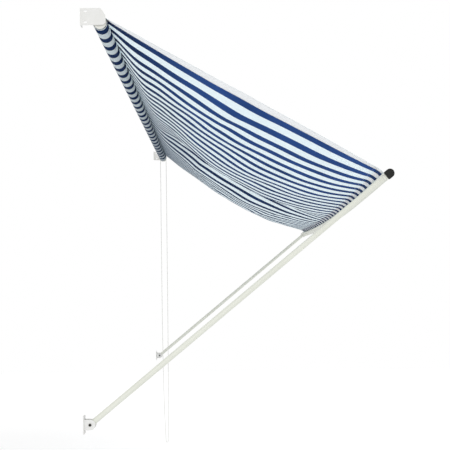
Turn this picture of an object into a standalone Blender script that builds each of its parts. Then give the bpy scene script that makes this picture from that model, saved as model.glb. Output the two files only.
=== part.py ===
# Drop-arm canvas awning, 3 m wide, with its frame.
# X runs along the roller, the wall is the plane Y = 0 and the front is -Y. Z = 0 is the roller's axis.
import math

import bmesh
import bpy
from mathutils import Matrix, Vector

MM = 0.001

# upper brackets
PLATE_GAP = 3000 * MM          # between the inner faces of the two side plates
PLATE_THICK = 3 * MM
PLATE_DEPTH = 98 * MM
PLATE_TOP = 52 * MM
PLATE_BOTTOM = -13 * MM
PLATE_CHAMFER = 19 * MM
PLATE_ROUND = 15 * MM
FLANGE_WIDTH = 32 * MM
FLANGE_HOLE = 6.6 * MM
SLOT_LENGTH = 14 * MM
SLOT_HEIGHT = 6 * MM
SLOT_FROM_WALL = 21 * MM
SLOT_HEIGHTS = (41 * MM, -1.5 * MM)

# roller
AXIS_Y = -74 * MM
TUBE_RADIUS = 25 * MM
TUBE_WALL = 1.2 * MM
TUBE_LEFT = -PLATE_GAP / 2 + 10 * MM
TUBE_RIGHT = PLATE_GAP / 2 - 27 * MM
TUBE_BORE = 2.6 * MM
TUBE_TURN = 180 + 48
PIN_RADIUS = 6 * MM
PIN_LENGTH = 30 * MM
PIN_FLANGE = 13 * MM
RUNNING = 0.05 * MM            # radial clearance of a turning fit
GAP = 0.3 * MM                 # between pieces that touch
WHEEL_LEFT = TUBE_RIGHT + 6 * MM
WHEEL_RIGHT = PLATE_GAP / 2 - 7 * MM
WHEEL_RIM = 26 * MM
WHEEL_FLOOR = 19.7 * MM
GROOVE_WIDTH = 5.2 * MM
SCREW_CIRCLE = 10.2 * MM       # the two screws' distance from the axis
SCREW_RADIUS = 1.6 * MM

# cord loop
CORD_RADIUS = 2 * MM
CORD_BOTTOM = -2218 * MM
CORD_BOTTOM_Y = -80 * MM

# cloth
CLOTH_THICK = 0.6 * MM
CLOTH_LEFT = TUBE_LEFT + 5 * MM
CLOTH_RIGHT = TUBE_RIGHT - 11 * MM
WOUND_TURNS = 1.6
WOUND_PITCH = 1.0 * MM
SPLIT_ANGLE = 96               # where the wound cloth meets the free cloth, from the front over the top
HEM_STAND = 3 * MM             # the hem stands straight out of the bar's slot
HEM_CURL = 26 * MM             # and bends over this length into the free cloth
BELLY_LEAVE = 18               # how much steeper the slackest cloth leaves the roller, in degrees
BELLY_ARRIVE = 23              # and how much flatter it comes to the bar
TAUT_ANGLE = 29.5              # slope of the taut edges, below the horizontal

# arms
PIVOT_Y = -26 * MM
PIVOT_Z = -1541 * MM
ARM_X = PLATE_GAP / 2 + 15 * MM
ARM_REACH = 1464.8 * MM        # pivot to the bar's flat side
ARM_ANGLE = 39.4               # above the horizontal
ARM_RADIUS = 11 * MM
ARM_WALL = 1.2 * MM
FOOT_EYE = 14 * MM             # pivot to the lower end of the tube
HEAD_COLLAR = 9 * MM

# foot brackets
EAR_RADIUS = 20 * MM
EAR_THICK = 2.5 * MM
EAR_GAP = 2 * ARM_RADIUS + 1 * MM
FOOT_PLATE_HEIGHT = 72 * MM
FOOT_PLATE_THICK = 3 * MM
FOOT_HOLE = 6.6 * MM
FOOT_HOLE_SPACING = 56 * MM
BOLT_RADIUS = 3 * MM

# front bar
BAR_RADIUS = 15.5 * MM
BAR_DEPTH = 16 * MM            # centre of the round side to the flat side
BAR_WALL = 1.6 * MM
BAR_OVERHANG = 30 * MM         # past the middle of each arm
BAR_HALF = ARM_X + BAR_OVERHANG
BAR_SAG = 36 * MM              # the long thin bar hangs this much at mid-span
BAR_STEPS = 16
WELT_BORE = 2.9 * MM
WELT_SLOT = 2.0 * MM
WELT_RADIUS = 2.3 * MM
WELT_LIP = 1.4 * MM            # the bar's wall beside the slot
WELT_AT = BAR_RADIUS - WELT_LIP - WELT_BORE
CAP_OVER = 1.7 * MM
CAP_THICK = 9 * MM
TUBE_WELT_AT = TUBE_RADIUS - TUBE_WALL - TUBE_BORE
CLOTH_RADIUS = TUBE_RADIUS + 0.4 * MM + CLOTH_THICK / 2 + WOUND_TURNS * WOUND_PITCH

parts = bpy.data.collections.new("canvas_awning")
cutters = bpy.data.collections.new("cutters")


def clearScene():
    for thing in list(bpy.data.objects):
        bpy.data.objects.remove(thing, do_unlink=True)
    scene = bpy.context.scene
    for group in (parts, cutters):
        scene.collection.children.link(group)


def paint(name, colour, rough, metal=0.0):
    mat = bpy.data.materials.new(name)
    mat.use_nodes = True
    shader = mat.node_tree.nodes["Principled BSDF"]
    shader.inputs["Base Color"].default_value = (*colour, 1)
    shader.inputs["Roughness"].default_value = rough
    shader.inputs["Metallic"].default_value = metal
    mat.diffuse_color = (*colour, 1)
    return mat


def keep(obj, mat, parent=None):
    """Put a finished piece in the part's collection with its material."""
    for group in list(obj.users_collection):
        group.objects.unlink(obj)
    parts.objects.link(obj)
    obj.data.materials.clear()
    obj.data.materials.append(mat)
    if parent:
        obj.parent = parent
    return obj


def axisEmpty(name, place, turn=0.0):
    empty = bpy.data.objects.new(name, None)
    empty.empty_display_size = 0.1
    empty.location = place
    empty.rotation_euler = (turn, 0, 0)
    parts.objects.link(empty)
    return empty


def arc(cy, cz, radius, start, end, steps):
    points = []
    for i in range(steps + 1):
        a = math.radians(start + (end - start) * i / steps)
        points.append((cy + radius * math.cos(a), cz + radius * math.sin(a)))
    return points


def circle(cy, cz, radius, steps):
    return arc(cy, cz, radius, 0, 360, steps)[:-1]


def extrude(name, loops, low, high, along="X"):
    """Solid with a flat outline (and holes) extruded along X or Y, from a filled 2D curve."""
    curve = bpy.data.curves.new(name, "CURVE")
    curve.dimensions = "2D"
    curve.fill_mode = "BOTH"
    curve.extrude = (high - low) / 2
    for loop in loops:
        spline = curve.splines.new("POLY")
        spline.points.add(len(loop) - 1)
        for point, (u, v) in zip(spline.points, loop):
            point.co = (u, v, 0, 1)
        spline.use_cyclic_u = True
    holder = bpy.data.objects.new(name + "_curve", curve)
    cutters.objects.link(holder)
    bpy.context.view_layer.update()
    mesh = bpy.data.meshes.new_from_object(holder.evaluated_get(bpy.context.evaluated_depsgraph_get()))
    bpy.data.objects.remove(holder, do_unlink=True)
    mesh.name = name
    middle = (low + high) / 2
    for v in mesh.vertices:
        u, w, depth = v.co
        v.co = (depth + middle, u, w) if along == "X" else (u, depth + middle, w)
    tidy(mesh)
    obj = bpy.data.objects.new(name, mesh)
    parts.objects.link(obj)
    return obj


def rod(name, centre, radius, low, high, along="X"):
    """Solid cylinder with whole round ends, along X about (y, z) or along Y about (x, z)."""
    middle = (low + high) / 2
    place = (middle, *centre) if along == "X" else (centre[0], middle, centre[1])
    turn = Matrix.Rotation(math.pi / 2, 4, "Y" if along == "X" else "X")
    bm = bmesh.new()
    bmesh.ops.create_cone(bm, cap_ends=True, segments=32, radius1=radius, radius2=radius, depth=high - low,
                          matrix=Matrix.Translation(place) @ turn)
    mesh = bpy.data.meshes.new(name)
    bm.to_mesh(mesh)
    bm.free()
    obj = bpy.data.objects.new(name, mesh)
    parts.objects.link(obj)
    return obj


def tidy(mesh):
    bm = bmesh.new()
    bm.from_mesh(mesh)
    bmesh.ops.remove_doubles(bm, verts=bm.verts, dist=0.00001)
    bmesh.ops.recalc_face_normals(bm, faces=bm.faces)
    bm.to_mesh(mesh)
    bm.free()


def box(name, low, high):
    bm = bmesh.new()
    bmesh.ops.create_cube(bm, size=1)
    for v in bm.verts:
        v.co = [(a + b) / 2 + c * (b - a) for a, b, c in zip(low, high, v.co)]
    mesh = bpy.data.meshes.new(name)
    bm.to_mesh(mesh)
    bm.free()
    obj = bpy.data.objects.new(name, mesh)
    parts.objects.link(obj)
    return obj


def combine(obj, other, how):
    """EXACT Boolean with another piece, which is then removed."""
    for group in list(other.users_collection):
        group.objects.unlink(other)
    cutters.objects.link(other)
    other.hide_render = True
    other.display_type = "WIRE"
    mod = obj.modifiers.new(how, "BOOLEAN")
    mod.operation = how
    mod.solver = "EXACT"
    mod.object = other
    bpy.context.view_layer.update()
    mesh = bpy.data.meshes.new_from_object(obj.evaluated_get(bpy.context.evaluated_depsgraph_get()))
    obj.modifiers.clear()
    obj.data = mesh
    tidy(mesh)
    bpy.data.objects.remove(other, do_unlink=True)
    return obj


def roundEdges(obj, width, segments, wanted):
    """Bevel the edges whose middle passes the test."""
    bm = bmesh.new()
    bm.from_mesh(obj.data)
    edges = [e for e in bm.edges if wanted((e.verts[0].co + e.verts[1].co) / 2) and not flat(e)]
    bmesh.ops.bevel(bm, geom=edges, offset=width, segments=segments, affect="EDGES", profile=0.5)
    bm.to_mesh(obj.data)
    bm.free()
    tidy(obj.data)
    return obj


def flat(edge):
    return len(edge.link_faces) != 2 or edge.calc_face_angle(0) < math.radians(35)


def mirrored(obj, name):
    """A copy on the other side of X = 0."""
    mesh = obj.data.copy()
    mesh.name = name
    bm = bmesh.new()
    bm.from_mesh(mesh)
    for v in bm.verts:
        v.co.x = -v.co.x
    bmesh.ops.reverse_faces(bm, faces=bm.faces)
    bm.to_mesh(mesh)
    bm.free()
    other = bpy.data.objects.new(name, mesh)
    parts.objects.link(other)
    return other


def pair(obj, name, mat, parent=None):
    """The right-hand piece and its mirrored left-hand twin."""
    obj.name = name + "_right"
    twin = mirrored(obj, name + "_left")
    keep(obj, mat, parent)
    keep(twin, mat, parent)


# upper brackets: side plate with two slots, wall flange behind it, and the pin the roller turns on
def slotLoop(cy, cz):
    half = SLOT_LENGTH / 2 - SLOT_HEIGHT / 2
    r = SLOT_HEIGHT / 2
    return arc(cy + half, cz, r, -90, 90, 6) + arc(cy - half, cz, r, 90, 270, 6)


def upperBracket():
    front = -PLATE_DEPTH
    outline = [(0, PLATE_BOTTOM), (0, PLATE_TOP)]
    outline += [(front + PLATE_CHAMFER, PLATE_TOP), (front + PLATE_CHAMFER * 0.25, PLATE_TOP - PLATE_CHAMFER * 0.62)]
    outline += [(front, PLATE_TOP - PLATE_CHAMFER * 1.15)]
    outline += arc(front + PLATE_ROUND, PLATE_BOTTOM + PLATE_ROUND, PLATE_ROUND, 180, 270, 6)
    slots = [slotLoop(-SLOT_FROM_WALL, z) for z in SLOT_HEIGHTS]
    face = PLATE_GAP / 2
    plate = extrude("plate", [outline] + slots, face, face + PLATE_THICK)
    flange = box("flange", (face - FLANGE_WIDTH, -PLATE_THICK, PLATE_BOTTOM), (face + PLATE_THICK / 2, 0, PLATE_TOP))
    for z in (PLATE_BOTTOM + 14 * MM, PLATE_TOP - 14 * MM):
        hole = circle(face - FLANGE_WIDTH / 2 - 2 * MM, z, FLANGE_HOLE / 2, 16)
        combine(flange, extrude("hole", [hole], -10 * MM, 10 * MM, "Y"), "DIFFERENCE")
    return combine(plate, flange, "UNION")


def rollerPin(side, reach):
    face = side * (PLATE_GAP / 2 - GAP)
    pin = extrude("pin", [circle(AXIS_Y, 0, PIN_RADIUS, 32)], *sorted((face - side * reach, face - side * MM)))
    disc = extrude("disc", [circle(AXIS_Y, 0, PIN_FLANGE, 32)], *sorted((face - side * 2 * MM, face)))
    return combine(disc, pin, "UNION")


# foot brackets: wall plate with two ears, a bolt and its nut
def footBracket():
    plate = box("foot", (ARM_X - 20 * MM, -FOOT_PLATE_THICK, PIVOT_Z - FOOT_PLATE_HEIGHT / 2),
                (ARM_X + 20 * MM, 0, PIVOT_Z + FOOT_PLATE_HEIGHT / 2))
    for side in (-1, 1):
        hole = circle(ARM_X, PIVOT_Z + side * FOOT_HOLE_SPACING / 2, FOOT_HOLE / 2, 16)
        combine(plate, extrude("hole", [hole], -10 * MM, 10 * MM, "Y"), "DIFFERENCE")
    outline = [(-1 * MM, PIVOT_Z - EAR_RADIUS), (-1 * MM, PIVOT_Z + EAR_RADIUS)]
    outline += arc(PIVOT_Y, PIVOT_Z, EAR_RADIUS, 90, 270, 16)
    bore = circle(PIVOT_Y, PIVOT_Z, BOLT_RADIUS + GAP, 24)
    for side in (-1, 1):
        near = ARM_X + side * EAR_GAP / 2
        far = near + side * EAR_THICK
        ear = extrude("ear", [outline, bore], min(near, far), max(near, far))
        combine(plate, ear, "UNION")
    return plate


def pivotBolt():
    outer = ARM_X + EAR_GAP / 2 + EAR_THICK + GAP
    inner = ARM_X - EAR_GAP / 2 - EAR_THICK - 8 * MM
    shank = extrude("bolt", [circle(PIVOT_Y, PIVOT_Z, BOLT_RADIUS, 24)], inner, outer + 1 * MM)
    head = extrude("head", [circle(PIVOT_Y, PIVOT_Z, 5.7 * MM, 6)], outer, outer + 4 * MM)
    return combine(head, shank, "UNION")


def pivotNut():
    inner = ARM_X - EAR_GAP / 2 - EAR_THICK - GAP
    loops = [circle(PIVOT_Y, PIVOT_Z, 5.7 * MM, 6), circle(PIVOT_Y, PIVOT_Z, BOLT_RADIUS + GAP, 24)]
    return extrude("nut", loops, inner - 5 * MM, inner)


# arms, in the frame of their pivot: +Y runs down the arm to the pivot, the bar lies at -ARM_REACH
def armTube():
    loops = [circle(ARM_X, 0, ARM_RADIUS, 32), circle(ARM_X, 0, ARM_RADIUS - ARM_WALL, 32)]
    return extrude("arm", loops, -(ARM_REACH - HEAD_COLLAR - 2 * GAP), -FOOT_EYE, "Y")


def armFoot():
    body = rod("foot", (ARM_X, 0), ARM_RADIUS - 0.4 * MM, -(FOOT_EYE - GAP), 0, "Y")
    combine(body, rod("plug", (ARM_X, 0), ARM_RADIUS - ARM_WALL - GAP, -(FOOT_EYE + 30 * MM), -5 * MM, "Y"), "UNION")
    combine(body, rod("eye", (0, 0), ARM_RADIUS, ARM_X - ARM_RADIUS, ARM_X + ARM_RADIUS), "UNION")
    bore = rod("bore", (0, 0), BOLT_RADIUS + RUNNING, ARM_X - 2 * ARM_RADIUS, ARM_X + 2 * ARM_RADIUS)
    return combine(body, bore, "DIFFERENCE")


def armHead():
    end = -(ARM_REACH - GAP)
    collar = extrude("head", [circle(ARM_X, 0, ARM_RADIUS, 32)], end, end + HEAD_COLLAR, "Y")
    plug = extrude("plug", [circle(ARM_X, 0, ARM_RADIUS - ARM_WALL - GAP, 32)], end + 4 * MM, end + 40 * MM, "Y")
    combine(collar, plug, "UNION")
    bore = extrude("bore", [circle(ARM_X, 0, BOLT_RADIUS + GAP, 24)], end - 5 * MM, end + 30 * MM, "Y")
    return combine(collar, bore, "DIFFERENCE")


def headBolt():
    seat = -(ARM_REACH + BAR_WALL + GAP)
    head = extrude("bolt", [circle(ARM_X, 0, 5.7 * MM, 6)], seat - 4 * MM, seat, "Y")
    shank = extrude("shank", [circle(ARM_X, 0, BOLT_RADIUS, 24)], seat - 1 * MM, -(ARM_REACH - 26 * MM), "Y")
    return combine(head, shank, "UNION")


# hollow sections with a slot and a bore for the cloth's welt
def tubeLoops():
    slotAngle = math.degrees(math.asin(WELT_SLOT / 2 / TUBE_RADIUS))
    boreAngle = math.degrees(math.asin(WELT_SLOT / 2 / TUBE_BORE))
    ky = TUBE_WELT_AT * math.cos(math.radians(TUBE_TURN))
    kz = TUBE_WELT_AT * math.sin(math.radians(TUBE_TURN))
    inner = TUBE_RADIUS - TUBE_WALL
    ridge = TUBE_BORE + TUBE_WALL
    meet = math.degrees(math.acos((TUBE_WELT_AT**2 + inner**2 - ridge**2) / (2 * TUBE_WELT_AT * inner)))
    side = math.degrees(math.acos((inner * math.cos(math.radians(meet)) - TUBE_WELT_AT) / ridge))
    outer = arc(0, 0, TUBE_RADIUS, TUBE_TURN + slotAngle, TUBE_TURN + 360 - slotAngle, 40)
    outer += arc(ky, kz, TUBE_BORE, TUBE_TURN + 360 - boreAngle, TUBE_TURN + boreAngle, 16)
    hollow = arc(0, 0, inner, TUBE_TURN + meet, TUBE_TURN + 360 - meet, 40)
    hollow += arc(ky, kz, ridge, TUBE_TURN + 360 - side, TUBE_TURN + side, 12)[1:-1]
    return [outer, hollow]


def barLoops(cy):
    """D section about cy, flat side towards +Y, with its slot in the top where the round side begins."""
    slotAngle = math.degrees(math.asin(WELT_SLOT / 2 / BAR_RADIUS))
    boreAngle = math.degrees(math.asin(WELT_SLOT / 2 / WELT_BORE))
    inner = BAR_RADIUS - BAR_WALL
    ridge = WELT_BORE + BAR_WALL
    meet = math.degrees(math.acos((WELT_AT**2 + inner**2 - ridge**2) / (2 * WELT_AT * inner)))
    side = math.degrees(math.acos((inner * math.cos(math.radians(meet)) - WELT_AT) / ridge))
    flank = math.degrees(math.acos((inner - WELT_AT) / ridge))
    outer = arc(cy, 0, BAR_RADIUS, 90 + slotAngle, 270, 24)
    outer += barCorners(cy, BAR_RADIUS, BAR_DEPTH) + [(cy + WELT_SLOT / 2, BAR_RADIUS)]
    outer += arc(cy, WELT_AT, WELT_BORE, 90 - boreAngle, boreAngle - 270, 16)
    hollow = arc(cy, 0, inner, 90 + meet, 270, 18)
    hollow += [(cy + BAR_DEPTH - BAR_WALL, -inner), (cy + BAR_DEPTH - BAR_WALL, inner)]
    hollow += arc(cy, WELT_AT, ridge, 90 - flank, side - 270, 12)[:-1]
    return [outer, hollow]


def barCorners(cy, half, depth):
    corner = 2 * MM
    points = arc(cy + depth - corner, corner - half, corner, 270, 360, 3)
    return points + arc(cy + depth - corner, half - corner, corner, 0, 90, 3)


def sagAt(x):
    """Hang of the front bar at one place along it, as of a beam held at its two arms."""
    span = ARM_X - 20 * MM
    s = min(max((x + span) / (2 * span), 0), 1)
    return BAR_SAG * 3.2 * (s - 2 * s**3 + s**4)


def sagged(obj):
    """Bend a straight piece of the arms' frame to the hang of the front bar."""
    span = ARM_X - 20 * MM
    bm = bmesh.new()
    bm.from_mesh(obj.data)
    for i in range(BAR_STEPS + 1):
        x = span * (2 * i / BAR_STEPS - 1)
        geom = bm.verts[:] + bm.edges[:] + bm.faces[:]
        bmesh.ops.bisect_plane(bm, geom=geom, dist=0.000001, plane_co=(x, 0, 0), plane_no=(1, 0, 0))
    turn = math.radians(ARM_ANGLE)
    for v in bm.verts:
        drop = sagAt(v.co.x)
        v.co.y += drop * math.sin(turn)
        v.co.z -= drop * math.cos(turn)
    bm.to_mesh(obj.data)
    bm.free()
    return obj


def frontBar():
    bar = sagged(extrude("front_bar", barLoops(-(ARM_REACH + BAR_DEPTH)), -BAR_HALF, BAR_HALF))
    for x in (-ARM_X, ARM_X):
        hole = circle(x, 0, BOLT_RADIUS + GAP, 24)
        combine(bar, extrude("hole", [hole], -(ARM_REACH + 5 * MM), -(ARM_REACH - 5 * MM), "Y"), "DIFFERENCE")
    return bar


def barCap():
    centre = -(ARM_REACH + BAR_DEPTH)
    face = BAR_HALF + GAP
    outline = arc(centre, 0, BAR_RADIUS + CAP_OVER, 90, 270, 20)
    outline += barCorners(centre, BAR_RADIUS + CAP_OVER, BAR_DEPTH + CAP_OVER / 2)
    cap = extrude("cap", [outline], face, face + CAP_THICK)
    roundEdges(cap, 2 * MM, 3, lambda p: p.x > face + CAP_THICK - 0.1 * MM)
    plug = extrude("plug", [circle(centre + 2 * MM, -3 * MM, 9 * MM, 24)], face - 14 * MM, face + 1 * MM)
    return combine(cap, plug, "UNION")


def weltRod(cy, radius, at, turn):
    ky = cy + at * math.cos(math.radians(turn))
    kz = at * math.sin(math.radians(turn))
    return extrude("welt", [circle(ky, kz, radius, 16)], CLOTH_LEFT + 8 * MM, CLOTH_RIGHT - 8 * MM)


# roller, in the frame of its axis
def rollerPlug(left, right, body):
    """Flange from left to right, body inside the tube to the third value."""
    plug = extrude("plug", [circle(0, 0, TUBE_RADIUS, 40)], left, right)
    inside = circle(0, 0, TUBE_RADIUS - TUBE_WALL - GAP, 40)
    low, high = sorted((body, (left + right) / 2))
    combine(plug, extrude("body", [inside], low, high), "UNION")
    ky = TUBE_WELT_AT * math.cos(math.radians(TUBE_TURN))
    kz = TUBE_WELT_AT * math.sin(math.radians(TUBE_TURN))
    low, high = (right, body + 5 * MM) if body > right else (body - 5 * MM, left)
    combine(plug, extrude("notch", [circle(ky, kz, 5 * MM, 20)], low, high), "DIFFERENCE")
    bore = extrude("bore", [circle(0, 0, PIN_RADIUS + RUNNING, 32)], min(left, body) - 0.01, max(right, body) + 0.01)
    return combine(plug, bore, "DIFFERENCE")


def cordWheel():
    bm = bmesh.new()
    half = GROOVE_WIDTH / 2
    mid = (WHEEL_LEFT + WHEEL_RIGHT) / 2
    bore = PIN_RADIUS + 0.5 * MM
    boss = WHEEL_LEFT - 2.4 * MM
    outline = [(boss, bore), (boss, 14 * MM), (WHEEL_LEFT, 14 * MM), (WHEEL_LEFT, WHEEL_RIM)]
    outline += [(mid - half - 1 * MM, WHEEL_RIM), (mid - half, WHEEL_RIM - 1.2 * MM), (mid - half, WHEEL_FLOOR)]
    outline += [(mid + half, WHEEL_FLOOR), (mid + half, WHEEL_RIM - 1.2 * MM), (mid + half + 1 * MM, WHEEL_RIM)]
    outline += [(WHEEL_RIGHT, WHEEL_RIM), (WHEEL_RIGHT, bore)]
    verts = [bm.verts.new((x, 0, r)) for x, r in outline]
    edges = [bm.edges.new((a, b)) for a, b in zip(verts, verts[1:] + verts[:1])]
    bmesh.ops.spin(bm, geom=verts + edges, axis=(1, 0, 0), cent=(0, 0, 0), angle=math.tau, steps=40, use_merge=True)
    mesh = bpy.data.meshes.new("cord_wheel")
    bm.to_mesh(mesh)
    bm.free()
    tidy(mesh)
    wheel = bpy.data.objects.new("cord_wheel", mesh)
    parts.objects.link(wheel)
    for side in (-1, 1):
        hole = [circle(side * SCREW_CIRCLE, 0, SCREW_RADIUS + 0.4 * MM, 12)]
        hole = extrude("hole", hole, boss - 5 * MM, WHEEL_RIGHT + 5 * MM)
        combine(wheel, hole, "DIFFERENCE")
    return wheel


def wheelScrew(side):
    seat = WHEEL_RIGHT + GAP
    head = extrude("screw", [circle(side * SCREW_CIRCLE, 0, SCREW_RADIUS + 1.8 * MM, 16)], seat, seat + 2 * MM)
    shank = [circle(side * SCREW_CIRCLE, 0, SCREW_RADIUS, 12)]
    shank = extrude("shank", shank, WHEEL_LEFT - 1.5 * MM, seat + 0.5 * MM)
    return combine(head, shank, "UNION")


def woundCloth():
    """Wound turns as one spiral strip, from the tube out to the split over the top."""
    steps = round(WOUND_TURNS * 28)
    outer, inner = [], []
    for i in range(steps + 1):
        behind = WOUND_TURNS * 360 * i / steps
        a = math.radians(180 - SPLIT_ANGLE - 1.0 - behind)
        r = CLOTH_RADIUS - WOUND_PITCH * behind / 360
        outer.append(((r + CLOTH_THICK / 2) * math.cos(a), (r + CLOTH_THICK / 2) * math.sin(a)))
        inner.append(((r - CLOTH_THICK / 2) * math.cos(a), (r - CLOTH_THICK / 2) * math.sin(a)))
    return extrude("canopy_roll", [outer + inner[::-1]], CLOTH_LEFT, CLOTH_RIGHT)


# free cloth: over the roller, down in a belly to the bar, and into its slot
def slack(x):
    """How far the cloth hangs, from 0 at the taut left edge to about 1 in its two bellies."""
    d = x - CLOTH_LEFT
    width = CLOTH_RIGHT - CLOTH_LEFT
    near = 1 - math.exp(-d / 0.28)
    ridge = 1 - 0.36 * math.exp(-(((d - 1.67) / 0.30) ** 2))
    far = 1 - 0.40 * math.exp(-(width - d) / 0.28)
    return 1.03 * near * ridge * far


def clothLine(x):
    """Points (distance from the wall, height) of the cloth's middle at one place along the roller."""
    turn = math.radians(ARM_ANGLE)
    reach = ARM_REACH + BAR_DEPTH
    inward = Vector((-math.cos(turn), -math.sin(turn)))
    upward = Vector((-math.sin(turn), math.cos(turn)))
    bar = Vector((-PIVOT_Y, PIVOT_Z)) - reach * inward - Vector((0, sagAt(x)))
    leave = math.radians(TAUT_ANGLE + BELLY_LEAVE * slack(x))
    arrive = math.radians(TAUT_ANGLE - BELLY_ARRIVE * slack(x))
    bend = math.pi / 2 - turn - arrive
    radius = HEM_CURL / bend

    def hem(a):
        out = BAR_RADIUS + HEM_STAND + radius * math.sin(a)
        return bar + radius * (1 - math.cos(a)) * inward + out * upward

    points = []
    first = 180 - SPLIT_ANGLE
    wrapEnd = 90 + math.degrees(leave)
    for i in range(6):
        a = math.radians(first + (wrapEnd - first) * i / 5)
        points.append(Vector((-AXIS_Y - CLOTH_RADIUS * math.cos(a), CLOTH_RADIUS * math.sin(a))))
    start, end = points[-1], hem(bend)
    pull = 0.33 * (end - start).length
    p1 = start + pull * Vector((math.cos(leave), -math.sin(leave)))
    p2 = end - pull * Vector((math.cos(arrive), -math.sin(arrive)))
    for i in range(1, 17):
        t = i / 16
        points.append((1 - t) ** 3 * start + 3 * (1 - t) ** 2 * t * p1 + 3 * (1 - t) * t**2 * p2 + t**3 * end)
    points += [hem(bend * k / 4) for k in (3, 2, 1, 0)]
    points.append(bar + (WELT_AT + WELT_RADIUS + 2 * GAP) * upward)
    return points


def canopySheet():
    columns = 48
    bm = bmesh.new()
    rows = []
    for i in range(columns + 1):
        x = CLOTH_LEFT + (CLOTH_RIGHT - CLOTH_LEFT) * i / columns
        rows.append([bm.verts.new((x, -p.x, p.y)) for p in clothLine(x)])
    for a, b in zip(rows, rows[1:]):
        for j in range(len(a) - 1):
            bm.faces.new((a[j], a[j + 1], b[j + 1], b[j]))
    mesh = bpy.data.meshes.new("canopy_sheet")
    bm.to_mesh(mesh)
    bm.free()
    obj = bpy.data.objects.new("canopy_sheet", mesh)
    parts.objects.link(obj)
    mod = obj.modifiers.new("thickness", "SOLIDIFY")
    mod.thickness = CLOTH_THICK
    mod.offset = 0
    bpy.context.view_layer.update()
    obj.data = bpy.data.meshes.new_from_object(obj.evaluated_get(bpy.context.evaluated_depsgraph_get()))
    obj.modifiers.clear()
    tidy(obj.data)
    return obj


def cordLoop(mat):
    """Endless operating cord: over the wheel, and down in two strands to a narrow bend."""
    x = (WHEEL_LEFT + WHEEL_RIGHT) / 2
    r = WHEEL_FLOOR + GAP + CORD_RADIUS
    route = arc(AXIS_Y, 0, r, 92, 180, 10)
    frontY, backY = AXIS_Y - r, AXIS_Y + r
    low = CORD_BOTTOM + CORD_RADIUS
    bend = 8 * MM
    for i in range(1, 13):
        t = i / 12
        y = frontY + (CORD_BOTTOM_Y - bend - frontY) * t**6
        route.append((y, (low + bend) * t))
    route += arc(CORD_BOTTOM_Y, low + bend, bend, 180, 360, 8)[1:]
    for i in range(1, 13):
        t = 1 - i / 12
        y = backY + (CORD_BOTTOM_Y + bend - backY) * t**6
        route.append((y, (low + bend) * t))
    route += arc(AXIS_Y, 0, r, 0, 88, 10)[1:]
    curve = bpy.data.curves.new("cord_loop", "CURVE")
    curve.dimensions = "3D"
    curve.bevel_depth = CORD_RADIUS
    curve.bevel_resolution = 2
    curve.use_fill_caps = True
    spline = curve.splines.new("POLY")
    spline.points.add(len(route) - 1)
    for point, (y, z) in zip(spline.points, route):
        point.co = (x, y, z, 1)
    obj = bpy.data.objects.new("cord_loop", curve)
    parts.objects.link(obj)
    return keep(obj, mat)


def build():
    clearScene()
    plateGrey = paint("plate_white", (0.80, 0.80, 0.79), 0.45)
    tubeWhite = paint("tube_white", (0.76, 0.77, 0.72), 0.35)
    black = paint("cap_black", (0.012, 0.012, 0.010), 0.5)
    boltDark = paint("bolt_dark", (0.06, 0.06, 0.055), 0.4, 1.0)
    zinc = paint("zinc", (0.55, 0.55, 0.54), 0.35, 1.0)
    nylon = paint("nylon_white", (0.78, 0.78, 0.76), 0.5)
    cloth = paint("canopy_cloth", (0.30, 0.38, 0.58), 0.9)
    welt = paint("welt_grey", (0.35, 0.35, 0.35), 0.6)
    cordWhite = paint("cord_white", (0.83, 0.83, 0.81), 0.8)

    pair(upperBracket(), "upper_bracket", plateGrey)
    pinRight = rollerPin(1, PLATE_GAP / 2 - TUBE_RIGHT + 17 * MM)
    pinRight.name = "roller_pin_right"
    keep(pinRight, zinc)
    pinLeft = rollerPin(-1, PIN_LENGTH)
    pinLeft.name = "roller_pin_left"
    keep(pinLeft, zinc)
    pair(footBracket(), "foot_bracket", plateGrey)
    pair(pivotBolt(), "pivot_bolt", boltDark)
    pair(pivotNut(), "pivot_nut", boltDark)
    keep(canopySheet(), cloth)
    cordLoop(cordWhite)

    pivot = axisEmpty("arms_axis", (0, PIVOT_Y, PIVOT_Z), -math.radians(ARM_ANGLE))
    pair(armTube(), "arm", tubeWhite, pivot)
    pair(armFoot(), "arm_foot", nylon, pivot)
    pair(armHead(), "arm_head", nylon, pivot)
    pair(headBolt(), "head_bolt", zinc, pivot)
    bar = frontBar()
    bar.name = "front_bar"
    keep(bar, tubeWhite, pivot)
    pair(barCap(), "bar_cap", black, pivot)
    rod = sagged(weltRod(-(ARM_REACH + BAR_DEPTH), WELT_RADIUS, WELT_AT, 90))
    rod.name = "bar_welt"
    keep(rod, welt, pivot)

    axis = axisEmpty("roller_axis", (0, AXIS_Y, 0))
    tube = extrude("roller_tube", tubeLoops(), TUBE_LEFT, TUBE_RIGHT)
    keep(tube, zinc, axis)
    rod = weltRod(0, 2.1 * MM, TUBE_WELT_AT, TUBE_TURN)
    rod.name = "roller_welt"
    keep(rod, welt, axis)
    left = rollerPlug(TUBE_LEFT - GAP - 3 * MM, TUBE_LEFT - GAP, TUBE_LEFT + 28 * MM)
    left.name = "roller_plug_left"
    keep(left, nylon, axis)
    right = rollerPlug(TUBE_RIGHT + GAP, TUBE_RIGHT + GAP + 3 * MM, TUBE_RIGHT - 28 * MM)
    right.name = "roller_plug_right"
    keep(right, nylon, axis)
    keep(cordWheel(), nylon, axis)
    for side, name in ((-1, "wheel_screw_front"), (1, "wheel_screw_back")):
        screw = wheelScrew(side)
        screw.name = name
        keep(screw, zinc, axis)
    keep(woundCloth(), cloth, axis)
    bpy.context.view_layer.update()


build()
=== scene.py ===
import math

import bmesh
import bpy
from mathutils import Matrix, Vector, noise


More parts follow.
